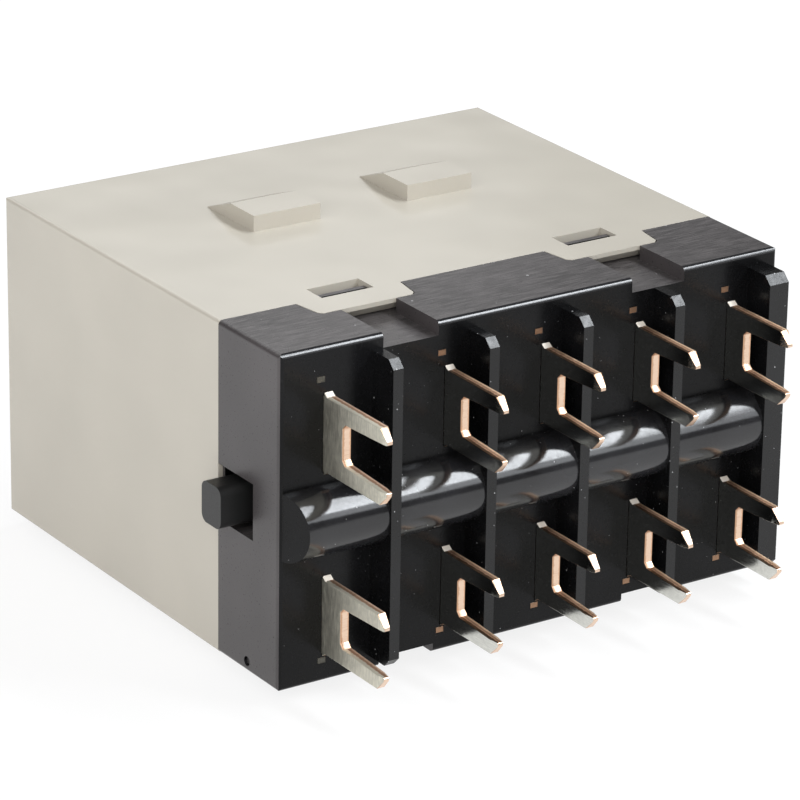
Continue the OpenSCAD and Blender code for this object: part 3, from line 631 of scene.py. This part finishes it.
def wound_wire(tint, pitch):
    """Enamelled wire in close turns along x, darker along the grooves between turns: painted shade."""
    material, tree, shader, coords = new_material("wound_wire")
    turns = add_node(tree, "ShaderNodeTexWave", wave_type="BANDS", bands_direction="X",
                     scale=WAVE_BAND / pitch)
    tree.links.new(coords, turns.inputs["Vector"])
    # Each turn's colour darkens towards the grooves between turns: painted shade
    tree.links.new(blend(tree, turns.outputs[1], shaded(tint, 0.45), shaded(tint, 1.2)),
                   shader.inputs["Base Color"])
    shader.inputs["Metallic"].default_value = 0.6
    grain = use_group(tree, "relay_grain", coords, feature=0.3 * MM)
    tree.links.new(vary(tree, grain["Fine"], 0.25, 0.40), shader.inputs["Roughness"])
    tree.links.new(bump(tree, turns.outputs[1], 0.1 * MM), shader.inputs["Normal"])
    return material


# Operators


class RELAY_OT_shared_effects(bpy.types.Operator):
    """Build the node groups that several finishes use"""
    bl_idname = "relay.shared_effects"
    bl_label = "Shared Effects"

    def execute(self, context):
        build_dust_group()
        build_hairline_group()
        build_grain_group()
        build_drawn_group()
        return {"FINISHED"}


class RELAY_OT_cover(bpy.types.Operator):
    """Build the beige cover with broken edges"""
    bl_idname = "relay.cover"
    bl_label = "Cover"

    def execute(self, context):
        settings = context.scene.relay_housing
        bm = merged_copy("cover")
        break_edges(bm, settings.cover_edge, segments=3)
        material = cover_plastic(settings.cover_colour)
        place_piece("moulded_cover", bm, [material], ["cover"])
        return {"FINISHED"}


def base_finish(face, rib_front, ridge_height):
    """The finish of a face of the base, from where it lies and where it looks."""
    centre = face.calc_center_median()
    normal = face.normal
    face_front = rib_front + RIB_DEPTH
    off_rib = centre.y > rib_front + RIB_FRONT_DEPTH and abs(normal.x) < SLIGHTLY
    on_ridge = off_rib and centre.y < face_front and abs(centre.z - ridge_height) < RIDGE_REACH
    on_round = (off_rib and centre.y > face_front and normal.z > ROUND_UPWARD_LEAST
                and -ROUND_FORWARD_MOST < normal.y < -ROUND_FORWARD_LEAST)
    on_chamfer = centre.y < face_front and normal.y < -SLIGHTLY and normal.z > SLIGHTLY
    on_rib_front = centre.y < rib_front + RIB_FRONT_DEPTH and normal.y < -SLIGHTLY
    # The top of the round takes the painted dark band of shade
    if on_round and normal.z > ROUND_UPWARD_SHADE:
        return EDGE_SHADE_BAND
    if abs(normal.x) > MOSTLY and centre.y > face_front:
        return END
    if on_rib_front or (on_chamfer and not on_ridge):
        return RIB
    if on_ridge or on_round:
        return RIDGE
    if normal.y < -HALF or centre.y < face_front:
        return FACE
    return SKIRT


class RELAY_OT_base(bpy.types.Operator):
    """Build the black base: its terminal face, its ribs, its polished ridge and its rubbed outside"""
    bl_idname = "relay.base"
    bl_label = "Base"

    def execute(self, context):
        settings = context.scene.relay_housing
        bm = merged_copy("base")
        rib_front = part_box("base")[0].y
        break_edges(bm, settings.base_edge)
        low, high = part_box("contact_carrier")
        ridge_height = (low.z + high.z) / 2
        for face in bm.faces:
            face.material_index = base_finish(face, rib_front, ridge_height)
        materials = [
            base_face_plastic("base_face_plastic", settings.face_colour, settings.dust, ior=1.27),
            base_ridge_plastic(settings.face_colour, settings.dust),
            base_skirt_plastic(settings.skirt_colour),
            # The dull black band on the top of the rounded edges is painted shade
            base_edge_plastic(settings.face_colour),
            plain_moulding("base_end_plastic", settings.end_colour, roughness=0.32),
            base_face_plastic("base_rib_plastic", settings.face_colour, settings.dust, ior=1.45),
        ]
        place_piece("moulded_base", bm, materials, ["base"])
        return {"FINISHED"}


class RELAY_OT_carrier(bpy.types.Operator):
    """Build the sliding carrier with its side tab"""
    bl_idname = "relay.carrier"
    bl_label = "Contact Carrier"

    def execute(self, context):
        settings = context.scene.relay_housing
        bm = merged_copy("contact_carrier")
        break_edges(bm, settings.carrier_edge)
        material = plain_moulding("carrier_plastic", settings.carrier_colour, roughness=0.38)
        place_piece("moulded_carrier", bm, [material], ["contact_carrier"])
        return {"FINISHED"}


def terminal_finish(face, root):
    """The finish of a face of a terminal, from where it lies and where it looks."""
    place = face.calc_center_median().y
    normal = face.normal
    if abs(normal.x) > FLAT_SIDE:
        return FLAT
    if normal.y < -SQUARELY and place > root - TANG_DEPTH:
        return TANG
    # The shoulders take a pale matt finish, a painted highlight
    if -SQUARELY < normal.y < -SLIGHTLY and normal.z > HALF and place > root - SHOULDER_DEPTH:
        return SHOULDER
    if normal.y < -HALF:
        return FRONT
    return SIDE


def stamped_terminal(node, settings, drawn, materials):
    """A terminal whose flats, front edges, long edges, tang and shoulders have their own finishes; the
    shoulders' finish is a painted highlight.
    """
    bm = merged_copy(node)
    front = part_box(node)[0].y
    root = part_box("base")[0].y + RIB_DEPTH
    outside = [vert.co.x for vert in bm.verts if vert.co.y < root - PRONG_CLEARANCE]
    left, right = min(outside), max(outside)
    break_edges(bm, settings.tip_edge, segments=3, chosen=in_front_of(front + settings.tip_length))
    break_edges(bm, drawn, segments=3, chosen=on_left_flat(left, root))
    break_edges(bm, settings.stamped_edge)
    across = bm.verts.layers.float.new("across")
    for vert in bm.verts:
        vert[across] = min(max((vert.co.x - left) / (right - left), 0.0), 1.0)
    for face in bm.faces:
        face.material_index = terminal_finish(face, root)
    place_piece("stamped_" + node, bm, materials, [node])


class RELAY_OT_coil_terminals(bpy.types.Operator):
    """Build the two tinned forks of the coil"""
    bl_idname = "relay.coil_terminals"
    bl_label = "Coil Terminals"

    def execute(self, context):
        settings = context.scene.relay_terminals
        copper = settings.copper_colour
        tin = shaded(settings.coil_colour, 1.0)
        front_tones = (
            (0.16, shaded(copper, 0.70)),
            (0.26, FRESH_FRONT),
            (0.80, FRESH_FRONT),
            (0.92, shaded(copper, 0.9)),
        )
        side_tones = (
            (0.40, tin),
            (0.48, shaded(copper, 0.55)),
            (0.72, shaded(copper, 0.6)),
            (0.86, FRESH_FRONT),
        )
        tang = shaded(settings.coil_colour, 0.2)[:3]
        materials = [
            rolled_metal("coil_tin", settings.coil_colour, dull=0.72, low=0.40, high=0.58,
                         lines="Upright"),
            sheared_copper("sheared_front", copper, front_tones, low=0.26, high=0.44),
            sheared_copper("coil_side", copper, side_tones, low=0.45, high=0.65),
            rolled_metal("tang_tin", tang, dull=0.6, low=0.40, high=0.58),
            # A pale matt finish that paints the bright glints on the shoulders
            plain_moulding("shoulder_tin", settings.shoulder_highlight_colour, roughness=0.32),
        ]
        for row in ROWS:
            stamped_terminal("coil_terminal_" + row, settings, settings.drawn_edge, materials)
        return {"FINISHED"}


class RELAY_OT_contact_terminals(bpy.types.Operator):
    """Build the eight forks of the contacts, tinned on their flats"""
    bl_idname = "relay.contact_terminals"
    bl_label = "Contact Terminals"

    def execute(self, context):
        settings = context.scene.relay_terminals
        copper = settings.copper_colour
        side_tones = (
            (0.34, shaded(copper, 0.15)),
            (0.42, shaded(copper, 1.2)),
            (0.52, shaded(copper, 0.60)),
            (0.70, shaded(copper, 0.8)),
            (0.80, FRESH_SIDE),
        )
        tang = shaded(copper, 0.5)[:3]
        materials = [
            rolled_metal("contact_tin", settings.tin_colour, dull=0.82, low=0.10, high=0.20),
            bpy.data.materials["sheared_front"],
            sheared_copper("contact_side", copper, side_tones, low=0.42, high=0.60),
            rolled_metal("tang_copper", tang, dull=0.7, low=0.35, high=0.50),
            # The same painted highlight on the shoulders
            bpy.data.materials["shoulder_tin"],
        ]
        for row in ROWS:
            for pole in range(1, POLES + 1):
                node = "contact_terminal_%s_%d" % (row, pole)
                stamped_terminal(node, settings, settings.stamped_edge, materials)
        return {"FINISHED"}


class RELAY_OT_contacts(bpy.types.Operator):
    """Finish the silver contacts and their bridges"""
    bl_idname = "relay.contacts"
    bl_label = "Contacts"

    def execute(self, context):
        settings = context.scene.relay_works
        copper = context.scene.relay_terminals.copper_colour
        silver = rolled_metal("contact_silver", settings.silver_colour, dull=0.85, low=0.18, high=0.34)
        bridge = rolled_metal("bridge_copper", copper, dull=0.75, low=0.20, high=0.36)
        paint_node("fixed_contacts", silver)
        for pole in range(1, POLES + 1):
            paint_node("contact_bridge_%d" % pole, bridge)
            paint_node("bridge_contacts_%d" % pole, silver)
        return {"FINISHED"}


def wound_spring(node, wire, turns, material):
    """A spring of round wire along y, wound from end to end of its CAD node's box."""
    low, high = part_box(node)
    middle = (low + high) / 2
    length = high.y - low.y
    steps = round(turns * WIRE_STEPS)
    bm = bmesh.new()
    section = Matrix.Translation((high.x - wire / 2, low.y + wire / 2, middle.z))
    bmesh.ops.create_circle(bm, cap_ends=True, radius=wire / 2, segments=WIRE_SIDES, matrix=section)
    bmesh.ops.spin(bm, geom=bm.verts[:] + bm.edges[:] + bm.faces[:], cent=middle, axis=(0, 1, 0),
                   dvec=(0, (length - wire) / steps, 0), angle=-2 * pi * turns, steps=steps)
    bmesh.ops.recalc_face_normals(bm, faces=bm.faces)
    piece = place_piece("wound_" + node, bm, [material], [node], WIRE_SHARP_ANGLE)
    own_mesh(piece)


class RELAY_OT_springs(bpy.types.Operator):
    """Build the contact springs and the return springs"""
    bl_idname = "relay.springs"
    bl_label = "Springs"

    def execute(self, context):
        settings = context.scene.relay_works
        steel = rolled_metal("spring_wire", settings.spring_colour, dull=0.80, low=0.20, high=0.34)
        for pole in range(1, POLES + 1):
            wound_spring("contact_spring_%d" % pole, settings.contact_wire, settings.contact_turns,
                         steel)
        for side in ("left", "right"):
            wound_spring("return_spring_" + side, settings.return_wire, settings.return_turns,
                         steel)
        return {"FINISHED"}


class RELAY_OT_magnet(bpy.types.Operator):
    """Finish the armature, yoke, core and coil"""
    bl_idname = "relay.magnet"
    bl_label = "Magnet"

    def execute(self, context):
        settings = context.scene.relay_works
        iron = rolled_metal("zinc_plated_iron", settings.iron_colour, dull=0.78, low=0.26, high=0.42)
        wire = wound_wire(settings.wire_colour, settings.wire_pitch)
        bobbin = plain_moulding("bobbin_plastic", settings.bobbin_colour, roughness=0.45)
        tape = plain_moulding("polyester_tape", settings.tape_colour, roughness=0.30)
        for node in ("armature", "yoke", "core"):
            paint_node(node, iron)
        paint_node("bobbin", bobbin)
        paint_node("coil_tape", tape)
        paint_node("winding", wire)
        for row in ROWS:
            paint_node("coil_lead_" + row, wire)
        return {"FINISHED"}


def floor_paper():
    """White paper that is the background to the camera and in reflections, and keeps the shadow."""
    material, tree, shader, coords = new_material("floor_paper")
    grain = use_group(tree, "relay_grain", coords, feature=2 * MM)
    tree.links.new(blend(tree, grain["Fine"], PAPER_DARK, PAPER_LIGHT), shader.inputs["Base Color"])
    shader.inputs["Roughness"].default_value = 0.9
    shader.inputs["Specular IOR Level"].default_value = 0.1
    path = tree.nodes.new("ShaderNodeLightPath").outputs
    seen = combine(tree, "MAXIMUM", path["Is Camera Ray"], path["Is Glossy Ray"])
    seen = combine(tree, "MAXIMUM", seen, path["Is Transmission Ray"])
    white = add_node(tree, "ShaderNodeEmission", strength=PAPER_WHITE)
    mixed = tree.nodes.new("ShaderNodeMixShader")
    tree.links.new(combine(tree, "MULTIPLY", seen, PAPER_SHARE), mixed.inputs[0])
    tree.links.new(shader.outputs["BSDF"], mixed.inputs[1])
    tree.links.new(white.outputs["Emission"], mixed.inputs[2])
    tree.links.new(mixed.outputs["Shader"], tree.nodes["Material Output"].inputs["Surface"])
    return material


def grey_world(strength):
    """A dim grey room that fills the shadows."""
    world = bpy.data.worlds.new("grey_room")
    world.use_nodes = True
    background = world.node_tree.nodes["Background"]
    background.inputs["Color"].default_value = (1.0, 1.0, 1.0, 1.0)
    background.inputs["Strength"].default_value = strength
    return world


def soft_box(name, direction, along, distance, width, height, watts, tint):
    """An area lamp that faces the relay from a direction, with its height along another."""
    lamp = bpy.data.lights.new(name, "AREA")
    lamp.shape = "RECTANGLE"
    lamp.size = width
    lamp.size_y = height
    lamp.energy = watts
    lamp.color = tint
    holder = bpy.data.objects.new(name, lamp)
    away = Vector(direction).normalized()
    across = Vector(along).cross(away).normalized()
    turn = Matrix((across, away.cross(across), away)).transposed().to_4x4()
    holder.matrix_world = Matrix.Translation(away * distance) @ turn
    bpy.context.scene.collection.objects.link(holder)


class RELAY_OT_stage(bpy.types.Operator):
    """Set up the floor, the lamps and the camera"""
    bl_idname = "relay.stage"
    bl_label = "Stage"

    def execute(self, context):
        settings = context.scene.relay_stage
        scene = context.scene
        bm = bmesh.new()
        bmesh.ops.create_grid(bm, x_segments=1, y_segments=1, size=FLOOR_HALF)
        mesh = bpy.data.meshes.new("floor")
        bm.to_mesh(mesh)
        bm.free()
        mesh.materials.append(floor_paper())
        floor = bpy.data.objects.new("floor", mesh)
        scene.collection.objects.link(floor)

        scene.world = grey_world(settings.room)
        for lamp in LAMPS:
            soft_box(lamp["name"], lamp["direction"], lamp["along"], lamp["distance"], lamp["width"],
                     lamp["height"], getattr(settings, lamp["power"]), getattr(settings, lamp["colour"]))

        data = bpy.data.cameras.new("photo_camera")
        data.sensor_width = SENSOR_WIDTH
        data.lens = settings.lens
        camera = bpy.data.objects.new("photo_camera", data)
        turn = Matrix.Rotation(settings.azimuth, 4, "Z")
        turn = turn @ Matrix.Rotation(radians(90) - settings.elevation, 4, "X")
        turn = turn @ Matrix.Rotation(settings.roll, 4, "Z")
        back = Matrix.Translation((0, 0, settings.distance))
        camera.matrix_world = Matrix.Translation(settings.target) @ turn @ back
        scene.collection.objects.link(camera)
        scene.camera = camera
        scene.view_settings.view_transform = "Standard"
        return {"FINISHED"}


class RELAY_PT_panel(bpy.types.Panel):
    """The relay's pieces and sizes"""
    bl_idname = "RELAY_PT_panel"
    bl_label = "Board Relay"
    bl_space_type = "VIEW_3D"
    bl_region_type = "UI"
    bl_category = "Relay"

    def draw(self, context):
        for name, group in SETTINGS:
            column = self.layout.column()
            for key in group.__annotations__:
                column.prop(getattr(context.scene, name), key)
        for operator in OPERATORS:
            self.layout.operator(operator.bl_idname)


SETTINGS = (
    ("relay_housing", RELAY_PG_housing),
    ("relay_terminals", RELAY_PG_terminals),
    ("relay_works", RELAY_PG_works),
    ("relay_stage", RELAY_PG_stage),
)
OPERATORS = (
    RELAY_OT_shared_effects,
    RELAY_OT_cover,
    RELAY_OT_base,
    RELAY_OT_carrier,
    RELAY_OT_coil_terminals,
    RELAY_OT_contact_terminals,
    RELAY_OT_contacts,
    RELAY_OT_springs,
    RELAY_OT_magnet,
    RELAY_OT_stage,
)


def register():
    for name, group in SETTINGS:
        bpy.utils.register_class(group)
        setattr(bpy.types.Scene, name, PointerProperty(type=group))
    for operator in OPERATORS:
        bpy.utils.register_class(operator)
    bpy.utils.register_class(RELAY_PT_panel)


def unregister():
    bpy.utils.unregister_class(RELAY_PT_panel)
    for operator in reversed(OPERATORS):
        bpy.utils.unregister_class(operator)
    for name, group in reversed(SETTINGS):
        delattr(bpy.types.Scene, name)
        bpy.utils.unregister_class(group)


def main():
    """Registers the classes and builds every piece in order."""
    register()
    bpy.ops.relay.shared_effects()
    bpy.ops.relay.cover()
    bpy.ops.relay.base()
    bpy.ops.relay.carrier()
    bpy.ops.relay.coil_terminals()
    bpy.ops.relay.contact_terminals()
    bpy.ops.relay.contacts()
    bpy.ops.relay.springs()
    bpy.ops.relay.magnet()
    bpy.ops.relay.stage()


if __name__ == "__main__":
    main()
